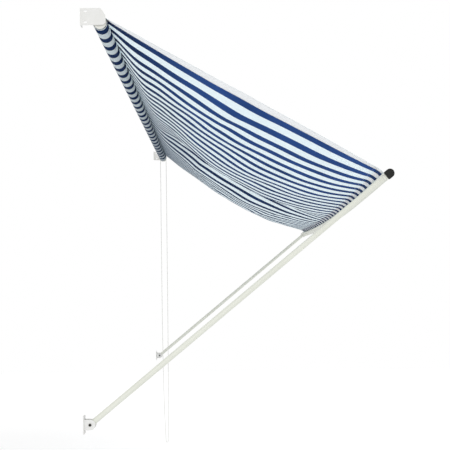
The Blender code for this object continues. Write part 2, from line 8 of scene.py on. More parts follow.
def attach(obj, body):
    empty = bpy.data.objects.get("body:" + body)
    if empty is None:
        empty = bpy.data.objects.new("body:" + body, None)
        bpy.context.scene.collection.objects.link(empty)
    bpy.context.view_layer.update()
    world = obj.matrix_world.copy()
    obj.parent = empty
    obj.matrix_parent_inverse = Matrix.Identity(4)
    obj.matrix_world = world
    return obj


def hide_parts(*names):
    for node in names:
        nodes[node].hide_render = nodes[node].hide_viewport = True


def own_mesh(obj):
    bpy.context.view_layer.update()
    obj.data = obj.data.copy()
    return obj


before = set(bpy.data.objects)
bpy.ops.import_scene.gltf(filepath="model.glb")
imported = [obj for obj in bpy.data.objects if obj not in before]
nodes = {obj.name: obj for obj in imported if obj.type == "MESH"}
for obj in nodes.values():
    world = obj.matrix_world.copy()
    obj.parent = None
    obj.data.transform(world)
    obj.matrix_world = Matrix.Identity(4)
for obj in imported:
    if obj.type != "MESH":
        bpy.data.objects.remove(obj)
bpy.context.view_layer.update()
print("frame loaded:", len(nodes), "nodes")


def linear(code):
    channels = [int(code[i:i + 2], 16) / 255 for i in (1, 3, 5)]
    return tuple(c / 12.92 if c <= 0.04045 else ((c + 0.055) / 1.055) ** 2.4 for c in channels) + (1,)


def node(tree, kind, settings=None, links=None):
    made = tree.nodes.new(kind)
    for key, value in (settings or {}).items():
        if isinstance(key, str) and hasattr(made, key) and key not in made.inputs:
            setattr(made, key, value)
        else:
            made.inputs[key].default_value = value
    for key, source in (links or {}).items():
        tree.links.new(source, made.inputs[key])
    return made


def finish(name, rough, metal=0.0, colour="#FFFFFF", ior=1.5):
    mat = bpy.data.materials.new(name)
    mat.use_nodes = True
    tree = mat.node_tree
    shader = tree.nodes["Principled BSDF"]
    shader.inputs["Base Color"].default_value = linear(colour)
    shader.inputs["Roughness"].default_value = rough
    shader.inputs["Metallic"].default_value = metal
    if not metal:
        shader.inputs["IOR"].default_value = ior
    mat.diffuse_color = linear(colour)
    return mat, tree, shader


# the scale of a noise whose patches are this many metres across
def patchScale(size):
    return 1 / size


# soft clouding of colour and gloss, and a fine surface grain; heights are in metres
cloudy = {"detail": 4.0, "from": 0.35, "to": 0.75, "duller": 0.08, "glossier": 0.06, "grainHigh": 0.0004}


# a finish with clouds of a darker tone: clouds and grain are sizes in metres, amount is the most that the
# darker tone takes, and bump is how much the grain shows
def worn(name, colour, dark, rough, clouds, amount, bump=0.0, grain=0.001, metal=0.0, ior=1.5):
    mat, tree, shader = finish(name, rough, metal, ior=ior)
    place = node(tree, "ShaderNodeTexCoord").outputs["Object"]
    cloud = node(tree, "ShaderNodeTexNoise", {"Scale": patchScale(clouds), "Detail": cloudy["detail"]},
                 {"Vector": place}).outputs["Fac"]
    mix = node(tree, "ShaderNodeMix", {"data_type": "RGBA", 6: linear(colour), 7: linear(dark)})
    share = node(tree, "ShaderNodeMapRange",
                 {"From Min": cloudy["from"], "From Max": cloudy["to"], "To Min": 0.0, "To Max": amount},
                 {"Value": cloud})
    tree.links.new(share.outputs["Result"], mix.inputs["Factor"])
    tree.links.new(mix.outputs[2], shader.inputs["Base Color"])
    low, high = rough - cloudy["glossier"], rough + cloudy["duller"]
    gloss = node(tree, "ShaderNodeMapRange", {"To Min": low, "To Max": high}, {"Value": cloud})
    tree.links.new(gloss.outputs["Result"], shader.inputs["Roughness"])
    if bump:
        grains = node(tree, "ShaderNodeTexNoise", {"Scale": patchScale(grain), "Detail": 2.0},
                      {"Vector": place})
        lift = node(tree, "ShaderNodeBump", {"Strength": bump, "Distance": cloudy["grainHigh"]},
                    {"Height": grains.outputs["Fac"]})
        tree.links.new(lift.outputs["Normal"], shader.inputs["Normal"])
    return mat


# powder coat on steel: satin, faint orange peel about 1.4 mm across
plateCoat = worn("powderCoatPlate", "#DEDEDC", "#CFCFCB", rough=0.42, clouds=0.111, amount=0.5, bump=0.25,
                 grain=0.00143)
# powder coat on aluminium tube: warmer, a little glossier
tubeCoat = worn("powderCoatTube", "#DADCD2", "#CBCDC2", rough=0.38, clouds=0.143, amount=0.5, bump=0.2,
                grain=0.00143)
# moulded ABS: near black, fine spark-eroded texture about 0.45 mm across
capAbs = worn("mouldedAbs", "#11110F", "#1C1C19", rough=0.55, clouds=0.0167, amount=0.6, bump=0.5,
              grain=0.000455)
capAbs.node_tree.nodes["Principled BSDF"].inputs["Specular IOR Level"].default_value = 0.3
# polyamide: milky white, slightly waxy
polyamide = worn("polyamide", "#E2E2DC", "#CFCFC6", rough=0.45, clouds=0.025, amount=0.6, bump=0.15,
                 grain=0.000667, ior=1.53)
# zinc plated steel: cool grey, spangled
zincPlate = worn("zincPlatedSteel", "#B9BBBD", "#8E9193", rough=0.36, clouds=0.00625, amount=0.8, bump=0.1,
                 grain=0.000556, metal=1.0)
# blackened steel of the pivot bolts
blackSteel = worn("blackOxideSteel", "#3A3936", "#24231F", rough=0.42, clouds=0.00455, amount=0.8, bump=0.1,
                  grain=0.000556, metal=1.0)
# extruded PVC welt cord: dull grey
weltPvc = worn("pvcWelt", "#9A9A98", "#858583", rough=0.55, clouds=0.00833, amount=0.5)
print("hardware finishes made")

coats = {
    "roller_plug_left": polyamide, "roller_plug_right": polyamide,
    "roller_pin_left": zincPlate, "roller_pin_right": zincPlate, "roller_tube": zincPlate,
    "head_bolt_left": zincPlate, "head_bolt_right": zincPlate,
    "wheel_screw_front": zincPlate, "wheel_screw_back": zincPlate,
    "bar_welt": weltPvc, "roller_welt": weltPvc,
}
for name, mat in coats.items():
    nodes[name].data.materials.clear()
    nodes[name].data.materials.append(mat)


# what several pieces share: roller axis, arm pivots, the arms' slope in degrees and reach, the bar's section,
# the floor of the cord's groove, and the gap left between pieces
awning = {"axisY": -0.074, "armX": 1.515, "armHalf": 0.02, "pivotY": -0.026, "pivotZ": -1.541,
          "armAngle": 39.4, "barReach": 1.4808, "barRadius": 0.0155, "barDepth": 0.016, "grooveFloor": 0.0197,
          "gap": 0.0003}

# camera at the photograph's angle, floor, soft studio light
view = {"place": (-4.385, -0.544, -1.034), "roll": 0.65, "lens": 60.2, "sensor": 36, "shift": 0.1444}
lens = bpy.data.cameras.new("camera")
lens.lens, lens.sensor_width, lens.shift_y = view["lens"], view["sensor"], view["shift"]
camera = bpy.data.objects.new("camera", lens)
bpy.context.scene.collection.objects.link(camera)
tilt = math.radians(view["roll"])
right, up = Vector((0, -math.cos(tilt), -math.sin(tilt))), Vector((0, -math.sin(tilt), math.cos(tilt)))
turned = Matrix((right, up, (-1, 0, 0))).transposed().to_4x4()
camera.matrix_world = Matrix.Translation(view["place"]) @ turned
bpy.context.scene.camera = camera
bpy.context.scene.view_settings.view_transform = "Standard"

studio = {"floorZ": -2.262, "floorY": -1.5, "floorSize": 14, "floorGlow": 0.22, "ambient": 0.82}
# each lamp: place, what it aims at, watts, width in metres
lamps = {"key": ((-1.5, -4.5, 3.5), (0, -0.5, -0.5), 165, 3.5),
         "fill": ((-5.5, 1.0, -0.5), (0, -0.6, -0.6), 46, 3.0)}
bpy.ops.object.select_all(action="DESELECT")
bpy.ops.mesh.primitive_plane_add(size=studio["floorSize"], location=(0, studio["floorY"], studio["floorZ"]))
floor = bpy.context.object
floor.name = "floor"
floorPaint, tree, shader = finish("paleFloor", 0.9, colour="#F4F4F4")
path = node(tree, "ShaderNodeLightPath")
share = node(tree, "ShaderNodeMath", {"operation": "MULTIPLY", 1: studio["floorGlow"]},
             {0: path.outputs["Is Camera Ray"]})
glow = node(tree, "ShaderNodeEmission", {"Color": (1, 1, 1, 1)}, {"Strength": share.outputs[0]})
both = node(tree, "ShaderNodeAddShader", {}, {0: shader.outputs[0], 1: glow.outputs[0]})
tree.links.new(both.outputs[0], tree.nodes["Material Output"].inputs["Surface"])
floor.data.materials.append(floorPaint)

world = bpy.data.worlds.new("studio")
bpy.context.scene.world = world
world.use_nodes = True
tree = world.node_tree
back = tree.nodes["Background"]
back.inputs["Color"].default_value = (1, 1, 1, 1)
path = node(tree, "ShaderNodeLightPath")
seen = node(tree, "ShaderNodeMath", {"operation": "MAXIMUM"},
            {0: path.outputs["Is Camera Ray"], 1: path.outputs["Is Glossy Ray"]})
seen = node(tree, "ShaderNodeMath", {"operation": "MAXIMUM"},
            {0: seen.outputs[0], 1: path.outputs["Is Transmission Ray"]})
level = node(tree, "ShaderNodeMapRange", {"To Min": studio["ambient"], "To Max": 1.0},
             {"Value": seen.outputs[0]})
tree.links.new(level.outputs["Result"], back.inputs["Strength"])


def lamp(name, place, aim, power, size):
    data = bpy.data.lights.new(name, "AREA")
    data.energy, data.size = power, size
    obj = bpy.data.objects.new(name, data)
    obj.location = place
    obj.rotation_euler = (Vector(aim) - Vector(place)).to_track_quat("-Z", "Y").to_euler()
    bpy.context.scene.collection.objects.link(obj)


for name, facts in lamps.items():
    lamp(name, *facts)
print("camera, floor and light set")


# operating cord: an endless loop of braided polyester over the wheel at the right end
cordFacts = {"radius": 0.002, "x": 1.486, "bottom": -2.218, "bottomY": -0.080, "bend": 0.008, "steps": 12,
             "ease": 6, "openAtTop": 2, "topSteps": 10, "bendSteps": 8, "braid": 0.00395, "braidHigh": 0.0004}


# the scale of a wave texture whose bands lie this many metres apart
def bandScale(apart):
    return math.tau / (20 * apart)


def onArc(cy, cz, radius, start, end, steps):
    turns = [math.radians(start + (end - start) * i / steps) for i in range(steps + 1)]
    return [(cy + radius * math.cos(a), cz + radius * math.sin(a)) for a in turns]


def cordRoute(f):
    r, axisY = awning["grooveFloor"] + awning["gap"] + f["radius"], awning["axisY"]
    front, rear, low = axisY - r, axisY + r, f["bottom"] + f["radius"]
    route = onArc(axisY, 0, r, 90 + f["openAtTop"], 180, f["topSteps"])
    for i in range(1, f["steps"] + 1):
        t = i / f["steps"]
        route.append((front + (f["bottomY"] - f["bend"] - front) * t ** f["ease"], (low + f["bend"]) * t))
    route += onArc(f["bottomY"], low + f["bend"], f["bend"], 180, 360, f["bendSteps"])[1:]
    for i in range(1, f["steps"] + 1):
        t = 1 - i / f["steps"]
        route.append((rear + (f["bottomY"] + f["bend"] - rear) * t ** f["ease"], (low + f["bend"]) * t))
    route += onArc(axisY, 0, r, 0, 90 - f["openAtTop"], f["topSteps"])[1:]
    return [(f["x"], y, z) for y, z in route]


route = cordRoute(cordFacts)
line = bpy.data.curves.new("cord", "CURVE")
line.dimensions = "3D"
line.bevel_depth, line.bevel_resolution, line.use_fill_caps = cordFacts["radius"], 6, True
spline = line.splines.new("POLY")
spline.points.add(len(route) - 1)
for point, place in zip(spline.points, route):
    point.co = (*place, 1)
cord = bpy.data.objects.new("operatingCord", line)
bpy.context.scene.collection.objects.link(cord)
# braided polyester: white, matt, braid pitch 4 mm
cordBraid, tree, shader = finish("braidedPolyester", 0.8, colour="#ECECE8")
place = node(tree, "ShaderNodeTexCoord").outputs["Object"]
braid = node(tree, "ShaderNodeTexWave",
             {"Scale": bandScale(cordFacts["braid"]), "bands_direction": "DIAGONAL", "Distortion": 0.5},
             {"Vector": place})
tone = node(tree, "ShaderNodeMix", {"data_type": "RGBA", 6: linear("#F0F0EC"), 7: linear("#D2D2CC")},
            {"Factor": braid.outputs["Fac"]})
tree.links.new(tone.outputs[2], shader.inputs["Base Color"])
lift = node(tree, "ShaderNodeBump", {"Strength": 0.5, "Distance": cordFacts["braidHigh"]},
            {"Height": braid.outputs["Fac"]})
tree.links.new(lift.outputs["Normal"], shader.inputs["Normal"])
line.materials.append(cordBraid)
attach(cord, "wall_frame")
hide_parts("cord_loop")


# canopy: one sheet from the roller to the front bar, hanging in two bellies; taut is its slope in degrees
# when pulled straight, and slack cloth leaves the roller steeper and reaches the bar flatter
canopy = {"left": -1.485, "right": 1.462, "thick": 0.0006, "rollRadius": 0.0273, "split": 96, "taut": 29.5,
          "leaveMore": 18, "arriveLess": 23, "hemStand": 0.003, "hemCurl": 0.026, "barSag": 0.036,
          "end": 0.0141, "pull": 0.33}
# points of one line of cloth: round the roller, across the gap and over the front bar; columns are the lines
lineSteps = {"wraps": 8, "spans": 44, "curls": 8, "columns": 420, "rollColumns": 80}
# what takes slack out of the cloth along its width: near, edge and far are a share that fades over a length
# from the left or the right side, tuck and ridge a share at a distance from the left, over a width;
# all scales the whole
slackness = {"near": (0.86, 0.33), "edge": (0.14, 0.02), "far": (0.47, 0.28), "tuck": (0.09, 0.08, 0.08),
             "ridge": (0.50, 1.68, 0.23), "all": 1.05}


# the bow of an evenly loaded bar: the polynomial is 5/16 at the middle
def barHang(x):
    span = awning["armX"] - awning["armHalf"]
    s = min(max((x + span) / (2 * span), 0), 1)
    return canopy["barSag"] * 3.2 * (s - 2 * s ** 3 + s ** 4)


def swell(at, middle, wide):
    return math.exp(-(((at - middle) / wide) ** 2))


def slack(x):
    d = x - canopy["left"]
    width = canopy["right"] - canopy["left"]
    k = slackness
    near = 1 - k["near"][0] * math.exp(-d / k["near"][1])
    near -= k["edge"][0] * math.exp(-d / k["edge"][1]) + k["tuck"][0] * swell(d, *k["tuck"][1:])
    ridge = 1 - k["ridge"][0] * swell(d, *k["ridge"][1:])
    far = 1 - k["far"][0] * math.exp(-(width - d) / k["far"][1])
    return k["all"] * near * ridge * far


def clothLine(x):
    c, main = canopy, awning
    wraps, spans, curls = lineSteps["wraps"], lineSteps["spans"], lineSteps["curls"]
    turn = math.radians(main["armAngle"])
    inward, upward = Vector((-math.cos(turn), -math.sin(turn))), Vector((-math.sin(turn), math.cos(turn)))
    bar = Vector((-main["pivotY"], main["pivotZ"])) - main["barReach"] * inward - Vector((0, barHang(x)))
    leave = math.radians(c["taut"] + c["leaveMore"] * slack(x))
    arrive = math.radians(c["taut"] - c["arriveLess"] * slack(x))
    bend = math.pi / 2 - turn - arrive
    radius = c["hemCurl"] / bend

    def hem(a):
        out = main["barRadius"] + c["hemStand"] + radius * math.sin(a)
        return bar + radius * (1 - math.cos(a)) * inward + out * upward

    first, wrapEnd = 180 - c["split"], 90 + math.degrees(leave)
    points = []
    for i in range(wraps + 1):
        a = math.radians(first + (wrapEnd - first) * i / wraps)
        points.append(Vector((-main["axisY"] - c["rollRadius"] * math.cos(a), c["rollRadius"] * math.sin(a))))
    start, end = points[-1], hem(bend)
    pull = c["pull"] * (end - start).length
    p1 = start + pull * Vector((math.cos(leave), -math.sin(leave)))
    p2 = end - pull * Vector((math.cos(arrive), -math.sin(arrive)))
    for i in range(1, spans + 1):
        t, u = i / spans, 1 - i / spans
        points.append(u ** 3 * start + 3 * u ** 2 * t * p1 + 3 * u * t ** 2 * p2 + t ** 3 * end)
    points += [hem(bend * (1 - k / curls)) for k in range(1, curls + 1)]
    points.append(bar + c["end"] * upward)
    return points


# waves and creases of the slack cloth: each is height, how many per metre across, how many along, seed;
# dip is how far it drops just off the roller: depth, place and width as shares of the free cloth, and the
# length over which it fades from the left; held is how firmly roller and bar hold the waves
ripples = {"broad": (0.018, 1.6, 2.6, 3.1), "fine": (0.010, 4.6, 6.0, 8.4),
           "crease": (0.009, 1.7, 3.4, 12.7), "slant": 0.9, "sharpness": 5, "creaseFrom": 0.7,
           "hemHolds": (0.75, 0.12), "held": 0.8, "dip": (0.032, 0.095, 0.065, 2.4), "dipFrom": 0.05,
           "dipEdge": 0.3}


def ripple(x, t):
    d = x - canopy["left"]
    across = x + ripples["slant"] * t
    height, wide, far, seed = ripples["broad"]
    out = height * noise.noise(Vector((x * wide, t * far, seed)))
    height, wide, far, seed = ripples["fine"]
    out += height * noise.noise(Vector((across * wide, t * far, seed)))
    height, wide, far, seed = ripples["crease"]
    sharp = (1 - abs(noise.noise(Vector((across * wide, t * far, seed))))) ** ripples["sharpness"]
    out -= height * sharp * (1 - math.exp(-d / ripples["creaseFrom"]))
    hemHolds, hemReach = ripples["hemHolds"]
    out *= math.sin(math.pi * t) ** ripples["held"] * (1 - hemHolds * math.exp(-d / hemReach))
    # the slack cloth drops off the roller before it swings out
    depth, middle, wide, fades = ripples["dip"]
    drop = depth * swell(t, middle, wide) * min(t / ripples["dipFrom"], 1)
    fromRight, edge = canopy["right"] - x, ripples["dipEdge"]
    return out - drop * (1 - math.exp(-d / edge)) * (1 - math.exp(-fromRight / edge)) * math.exp(-d / fades)


def clothRow(x):
    row = []
    for k, p in enumerate(clothLine(x)):
        t = min(max((k - lineSteps["wraps"]) / lineSteps["spans"], 0), 1)
        row.append(Vector((x, -p.x, p.y + ripple(x, t))))
    return row


# polyester canvas, yarn dyed: blue 46 mm and white 54 mm in a 100 mm repeat, matt, lets some daylight through
# the second blue is deeper: mixing towards it paints shade near the roller and away from the open left edge,
# besides random clouds of tone
stripes = {"period": 0.1, "firstBlue": -1.460, "blueWidth": 0.046, "blue": "#3B65AA", "blueShadeAndClouds": "#1D3A6B",
           "white": "#F5FCFE", "whiteDull": "#ECF5F9", "hem": "#F7F9FB", "hemDull": "#EFF1F3",
           "farMargin": 0.03, "drift": 0.023, "driftAtEdge": 0.4, "driftUntil": (0.2, 1.4),
           "driftFades": 0.25, "edgeWide": (0.02, 0.08)}
# painted light and shade on the cloth: two places and the amount at each, by x for the lighter blue at the
# open left edge and for the shade towards the far end, and by metres along the cloth for the deeper blue and
# the shade near the roller
paintedLightShadeAndClouds = {"paintedLightLeftEdge": (canopy["left"], 0.3, -0.3, 0.5), "paintedShadeNearRoller": (0.1, 0.45, 0.8, 0.0),
          "rollerShadeAlong": (0.1, 0.55, 1.0, 0.0), "rollerShadeAcross": (-1.2, 1.0, 0.0, 0.75), "paintedRollerShade": "#C9CDD3",
          "clouds": 0.1667}
weaveFacts = {"thread": 0.0006, "coarser": 4, "shade": 0.93, "lift": 0.35, "height": 0.0005}


# how much painted light or shade one ramp of the table above gives at a place
def paintedLightShadeShare(tree, key, source):
    low, high, first, last = paintedLightShadeAndClouds[key]
    limits = {"From Min": low, "From Max": high, "To Min": first, "To Max": last}
    return node(tree, "ShaderNodeMapRange", limits, {"Value": source}).outputs["Result"]


def canvasFinish(name, glow, hemmed=False):
    mat, tree, shader = finish(name, 0.9)
    s, w = stripes, weaveFacts
    place = node(tree, "ShaderNodeTexCoord").outputs["Object"]
    flat = node(tree, "ShaderNodeUVMap", {"uv_map": "cloth"}).outputs[0]
    parts = node(tree, "ShaderNodeSeparateXYZ", {}, {0: flat})
    across, along = parts.outputs["X"], parts.outputs["Y"]
    before = s["firstBlue"] - 40 * s["period"]  # well left of the cloth, so that the remainder stays positive
    shift = node(tree, "ShaderNodeMath", {"operation": "SUBTRACT", 1: before}, {0: across})
    part = node(tree, "ShaderNodeMath", {"operation": "MODULO", 1: s["period"]}, {0: shift.outputs[0]})
    band = node(tree, "ShaderNodeMath", {"operation": "LESS_THAN", 1: s["blueWidth"]}, {0: part.outputs[0]})
    lastBlue = canopy["right"] - s["farMargin"]
    inside = node(tree, "ShaderNodeMath", {"operation": "LESS_THAN", 1: lastBlue}, {0: across})
    blueHere = node(tree, "ShaderNodeMath", {"operation": "MULTIPLY"},
                    {0: band.outputs[0], 1: inside.outputs[0]})
    cloud = node(tree, "ShaderNodeTexNoise", {"Scale": patchScale(paintedLightShadeAndClouds["clouds"]), "Detail": 5.0},
                 {"Vector": place}).outputs["Fac"]
    # painted light and shade: the blue is drawn lighter towards the open left edge and deeper near the
    # roller, with random clouds of tone
    depth = node(tree, "ShaderNodeMath", {"operation": "ADD"},
                 {0: paintedLightShadeShare(tree, "paintedLightLeftEdge", across), 1: paintedLightShadeShare(tree, "paintedShadeNearRoller", along)})
    depth = node(tree, "ShaderNodeMath", {"operation": "ADD", "use_clamp": True},
                 {0: depth.outputs[0], 1: cloud})
    blue = node(tree, "ShaderNodeMix", {"data_type": "RGBA", 6: linear(s["blue"]), 7: linear(s["blueShadeAndClouds"])},
                {"Factor": depth.outputs[0]})
    pale, paleDull = ("hem", "hemDull") if hemmed else ("white", "whiteDull")
    white = node(tree, "ShaderNodeMix", {"data_type": "RGBA", 6: linear(s[pale]), 7: linear(s[paleDull])},
                 {"Factor": cloud})
    colour = node(tree, "ShaderNodeMix", {"data_type": "RGBA"},
                  {"Factor": blueHere.outputs[0], 6: white.outputs[2], 7: blue.outputs[2]})
    # painted shade of the folds gathered near the roller, drawn stronger towards its far end
    paintedRollerShade = node(tree, "ShaderNodeMath", {"operation": "MULTIPLY"},
                {0: paintedLightShadeShare(tree, "rollerShadeAlong", along), 1: paintedLightShadeShare(tree, "rollerShadeAcross", across)})
    colour = node(tree, "ShaderNodeMix",
                  {"data_type": "RGBA", "blend_type": "MULTIPLY", 7: linear(paintedLightShadeAndClouds["paintedRollerShade"])},
                  {"Factor": paintedRollerShade.outputs[0], 6: colour.outputs[2]})
    # plain weave, threads 0.6 mm apart on the real cloth, drawn four times as coarse to show
    wave = bandScale(w["coarser"] * w["thread"])
    warp = node(tree, "ShaderNodeTexWave", {"Scale": wave, "bands_direction": "X"}, {"Vector": flat})
    weft = node(tree, "ShaderNodeTexWave", {"Scale": wave, "bands_direction": "Y"}, {"Vector": flat})
    weave = node(tree, "ShaderNodeMath", {"operation": "MULTIPLY"},
                 {0: warp.outputs["Fac"], 1: weft.outputs["Fac"]})
    shade = node(tree, "ShaderNodeMapRange", {"To Min": w["shade"], "To Max": 1.0},
                 {"Value": weave.outputs[0]})
    colour = node(tree, "ShaderNodeMix", {"data_type": "RGBA", "blend_type": "MULTIPLY", 0: 1.0},
                  {6: colour.outputs[2], 7: shade.outputs["Result"]})
    lift = node(tree, "ShaderNodeBump", {"Strength": w["lift"], "Distance": w["height"]},
                {"Height": weave.outputs[0]})
    tree.links.new(colour.outputs[2], shader.inputs["Base Color"])
    tree.links.new(lift.outputs["Normal"], shader.inputs["Normal"])
    shader.inputs["Specular IOR Level"].default_value = 0.15
    through = node(tree, "ShaderNodeBsdfTranslucent", {}, {"Color": colour.outputs[2]})
    mixed = node(tree, "ShaderNodeMixShader", {0: glow}, {1: shader.outputs[0], 2: through.outputs[0]})
    tree.links.new(mixed.outputs[0], tree.nodes["Material Output"].inputs["Surface"])
    return mat


canvas = canvasFinish("yarnDyedPolyester", 0.45)
# turned under: little light comes through
canvasDouble = canvasFinish("yarnDyedPolyesterDouble", 0.1, True)
# spun polyester thread: cream, dull
threadPale = worn("sewingThread", "#E2E0D4", "#C9C7BA", rough=0.7, clouds=0.00333, amount=0.8)


# cloth from rows of points, edge to edge, with the cloth's own coordinates in a UV map
def makeSheet(name, rows, mat, spread=0.0, atEdge=1.0):
    bm = bmesh.new()
    uv = bm.loops.layers.uv.new("cloth")
    grid = [[bm.verts.new(p) for p in row] for row in rows]
    lengths = [runs(row) for row in rows]
    for i in range(len(grid) - 1):
        for j in range(len(grid[i]) - 1):
            face = bm.faces.new((grid[i][j], grid[i][j + 1], grid[i + 1][j + 1], grid[i + 1][j]))
            for loop, (a, b) in zip(face.loops, ((i, j), (i, j + 1), (i + 1, j + 1), (i + 1, j))):
                v = lengths[a][b]
                loop[uv].uv = (rows[a][b][0] + skew(rows[a][b][0], spread, v, atEdge), v)
            face.smooth = True
    mesh = bpy.data.meshes.new(name)
    bm.to_mesh(mesh)
    bm.free()
    obj = bpy.data.objects.new(name, mesh)
    bpy.context.scene.collection.objects.link(obj)
    mod = obj.modifiers.new("thickness", "SOLIDIFY")
    mod.thickness, mod.offset = canopy["thick"], 0
    bpy.context.view_layer.objects.active = obj
    bpy.ops.object.modifier_apply(modifier=mod.name)
    obj.data.materials.append(mat)
    return obj


# the cloth was wound a little towards the left end, so its stripes drift there near the roller,
# and less at its very edge
def skew(x, spread, v, atEdge):
    (until, wide), (margin, blend) = stripes["driftUntil"], stripes["edgeWide"]
    left = min(max((until - x) / wide, 0), 1)
    left *= atEdge + (1 - atEdge) * min(max((x - canopy["left"] - margin) / blend, 0), 1)
    return spread * left * math.exp(-(v / stripes["driftFades"]) ** 2)


def runs(row):
    total, out = 0, [0]
    for a, b in zip(row, row[1:]):
        total += (Vector(a) - Vector(b)).length
        out.append(total)
    return out


def acrossWidth(i, count):
    return canopy["left"] + (canopy["right"] - canopy["left"]) * i / count


columns = lineSteps["columns"]
sheetRows = [clothRow(acrossWidth(i, columns)) for i in range(columns + 1)]
sheet = makeSheet("canopySheet", sheetRows, canvas, stripes["drift"], stripes["driftAtEdge"])
print("canopy made, free length", round(runs(sheetRows[columns // 3])[-1], 3))

# wound cloth on the roller
wound = {"turns": 1.6, "pitch": 0.001, "steps": 120, "startAfter": 1.0}
rollRows = []
for column in range(lineSteps["rollColumns"] + 1):
    x, row = acrossWidth(column, lineSteps["rollColumns"]), []
    for i in range(wound["steps"] + 1):
        behind = wound["turns"] * 360 * i / wound["steps"]
        a = math.radians(180 - canopy["split"] - wound["startAfter"] - behind)
        r = canopy["rollRadius"] - wound["pitch"] * behind / 360
        row.append(Vector((x, awning["axisY"] + r * math.cos(a), r * math.sin(a))))
    rollRows.append(row)
roll = makeSheet("canopyRoll", rollRows, canvas, stripes["drift"])

# hems: the cloth is turned under and sewn down along both sides and above the front bar
hems = {"side": 0.025, "sideColumns": 6, "front": 0.045, "under": 0.0009, "inset": 0.003, "stitch": 0.003,
        "pitch": 0.0042, "stitchWide": 0.0004, "stitchHigh": 0.0003, "stand": 0.0004, "sideFrom": 0.004,
        "sideTo": 0.025, "frontFrom": 0.005}


def underSide(row, k):
    a, b = row[max(k - 1, 0)], row[min(k + 1, len(row) - 1)]
    along = (b - a).normalized()
    down = Vector((0, along.z, -along.y))
    return along, down if down.z < 0 else -down


def lowered(row, start, end, drop):
    return [row[k] + underSide(row, k)[1] * drop for k in range(start, end)]


def sideHem(name, low, high):
    first, count = lineSteps["wraps"], hems["sideColumns"]
    last = first + lineSteps["spans"] + 1
    rows = []
    for i in range(count + 1):
        rows.append(lowered(clothRow(low + (high - low) * i / count), first, last, hems["under"]))
    return makeSheet(name, rows, canvasDouble, stripes["drift"], stripes["driftAtEdge"])


hemLeft = sideHem("sideHemLeft", canopy["left"], canopy["left"] + hems["side"])
hemRight = sideHem("sideHemRight", canopy["right"] - hems["side"], canopy["right"])
frontRows = []
for row in sheetRows:
    total, out = runs(row), []
    for k in range(lineSteps["wraps"], len(row) - 1):
        left = total[-1] - total[k]
        if left < hems["front"]:
            out.append(row[k] + underSide(row, k)[1] * hems["under"])
    frontRows.append(out)
fewest = min(len(r) for r in frontRows)
frontHem = makeSheet("frontHem", [r[len(r) - fewest:] for r in frontRows], canvasDouble)


# one row of lockstitches; each place is its middle, its direction and the way out of the cloth
def stitchRow(name, places):
    bm = bmesh.new()
    h = hems
    for middle, along, out in places:
        wide, high = along.cross(out) * h["stitchWide"], out * h["stitchHigh"]
        ends = [bm.verts.new(middle + along * s * h["stitch"] / 2) for s in (-1, 1)]
        ring = [bm.verts.new(middle + p) for p in (wide, high, -wide, -high)]
        for a, b in zip(ring, ring[1:] + ring[:1]):
            bm.faces.new((ends[0], b, a))
            bm.faces.new((ends[1], a, b))
    bmesh.ops.recalc_face_normals(bm, faces=bm.faces)
    mesh = bpy.data.meshes.new(name)
    bm.to_mesh(mesh)
    bm.free()
    mesh.materials.append(threadPale)
    obj = bpy.data.objects.new(name, mesh)
    bpy.context.scene.collection.objects.link(obj)
    return obj


def onRow(row, total, s):
    k = 1
    while k < len(total) - 1 and total[k] < s:
        k += 1
    share = (s - total[k - 1]) / (total[k] - total[k - 1])
    return row[k - 1].lerp(row[k], share), *underSide(row, k)


def bothFaces(middle, along, out):
    stand = hems["stand"]
    return [(middle + out * (hems["under"] + stand), along, out), (middle - out * stand, along, -out)]


def sideStitches(name, x):
    row = clothRow(x)
    total = runs(row)
    low, high = total[lineSteps["wraps"]] + hems["sideFrom"], total[-1] - hems["sideTo"]
    places = []
    for i in range(int((high - low) / hems["pitch"])):
        middle, along, out = onRow(row, total, low + i * hems["pitch"])
        places += bothFaces(middle, along, out)
    return stitchRow(name, places)


def frontStitches(name):
    places = []
    for i in range(int((canopy["right"] - canopy["left"] - 2 * hems["frontFrom"]) / hems["pitch"])):
        x = canopy["left"] + hems["frontFrom"] + i * hems["pitch"]
        near = min(int((x - canopy["left"]) / (canopy["right"] - canopy["left"]) * columns), columns - 1)
        share = (x - sheetRows[near][0].x) / (sheetRows[near + 1][0].x - sheetRows[near][0].x)
        ends = []
        for row in (sheetRows[near], sheetRows[near + 1]):
            total = runs(row)
            ends.append(onRow(row, total, total[-1] - hems["front"] + hems["inset"]))
        middle, out = ends[0][0].lerp(ends[1][0], share), ends[0][2]
        along = (ends[1][0] - ends[0][0]).normalized()
        places += bothFaces(middle, along, out)
    return stitchRow(name, places)


sewing = [sideStitches("sideStitchesLeft", canopy["left"] + hems["side"] - hems["inset"]),
          sideStitches("sideStitchesRight", canopy["right"] - hems["side"] + hems["inset"]),
          frontStitches("frontStitches")]

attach(roll, "roller")
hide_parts("canopy_roll")
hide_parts("canopy_sheet")
for piece in [sheet, hemLeft, hemRight, frontHem] + sewing:
    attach(piece, "wall_frame")
    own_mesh(piece)
print("canopy sewn and declared")


# modelling by hand: everything starts deselected, and faces or edges are picked by place
facing, aside = 0.9, 0.1  # how nearly a normal or an edge points along an axis, or keeps square to it
onIt, near = 0.0001, 0.001  # how close a place counts as on a face, or as near it
# how long the cutters are: they stand out on both sides of what they go through
cutThrough = {"plate": 0.02, "ears": 0.06, "nut": 0.03, "wheel": 0.05}
# facets of round work
facets = {"tube": 64, "rim": 96, "bore": 48, "bolt": 32, "screw": 24}


def letGo():
    if bpy.context.object and bpy.context.object.mode == "EDIT":
        bpy.ops.object.mode_set(mode="OBJECT")
    bpy.ops.object.select_all(action="DESELECT")


def begin(obj, name):
    bpy.ops.object.transform_apply(location=True, rotation=True, scale=True)
    obj.name = obj.data.name = name
    bpy.ops.object.mode_set(mode="EDIT")
    return obj


